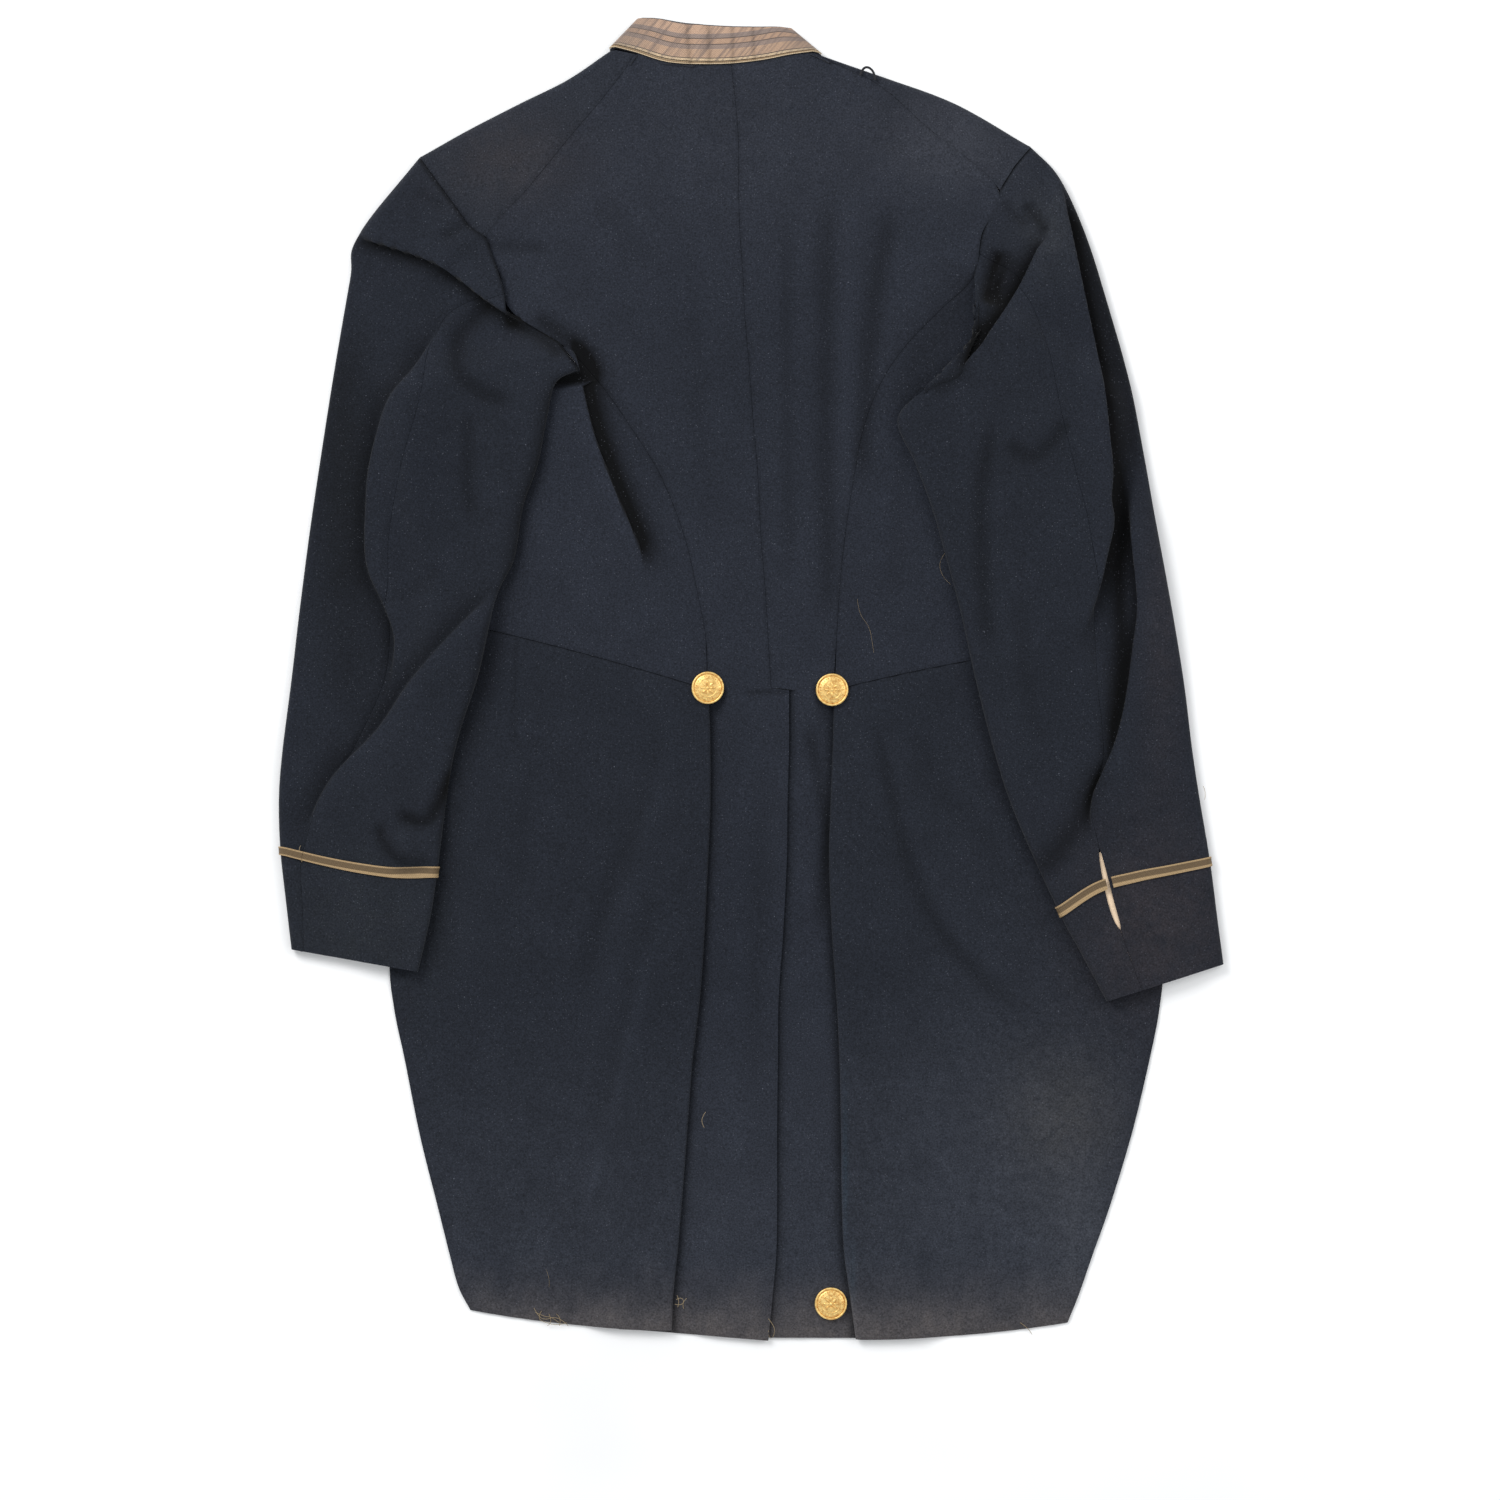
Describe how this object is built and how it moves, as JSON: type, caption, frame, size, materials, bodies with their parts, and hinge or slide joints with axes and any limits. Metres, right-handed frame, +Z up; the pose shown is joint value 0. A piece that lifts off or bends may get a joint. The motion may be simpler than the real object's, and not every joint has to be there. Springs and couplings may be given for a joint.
{
  "type": "swallowtail coat",
  "caption": "Dark navy wool tailcoat with a laced standing collar, braided cuffs and gilt buttons, lying flat with its back upwards.",
  "frame": {"origin": "centre of the coat's box on the surface that it lies on", "axes": "+Z up from the surface, through the back of the coat; +Y from the hem to the collar; +X across the coat, towards the wearer's right"},
  "size_m": [0.6373, 0.8919, 0.0214],
  "materials": {
    "wool": "dark navy melton wool, milled and slightly faded, matt with a faint nap",
    "gold_lace": "tarnished gold lace, tan to grey-mauve, with a low metallic sheen",
    "braid": "narrow gold braid with a brown middle, worn and dulled",
    "gilt": "bright gilt brass, stamped with plain rings, slightly worn",
    "lining": "plain off-white cotton lining",
    "cord": "thin twisted black cord"
  },
  "bodies": {
    "root": {"back_left": "wool", "back_right": "wool", "side_body_left": "wool", "side_body_right": "wool", "front_left": "wool", "front_right": "wool", "skirt_left": "wool", "skirt_right": "wool", "sleeve_left_upper": "wool", "sleeve_left_under": "wool", "sleeve_right_upper": "wool", "sleeve_right_under": "wool", "cuff_braid_left_upper": "braid", "cuff_braid_left_under": "braid", "cuff_braid_right_upper": "braid", "cuff_braid_right_under": "braid", "cuff_lining_right": "lining", "collar": "wool", "collar_lace": "gold_lace", "neck_braid": "braid", "hip_button_left": "gilt", "hip_button_right": "gilt", "tail_button_right": "gilt", "shoulder_loop_right": "cord"}
  },
  "joints": []
}
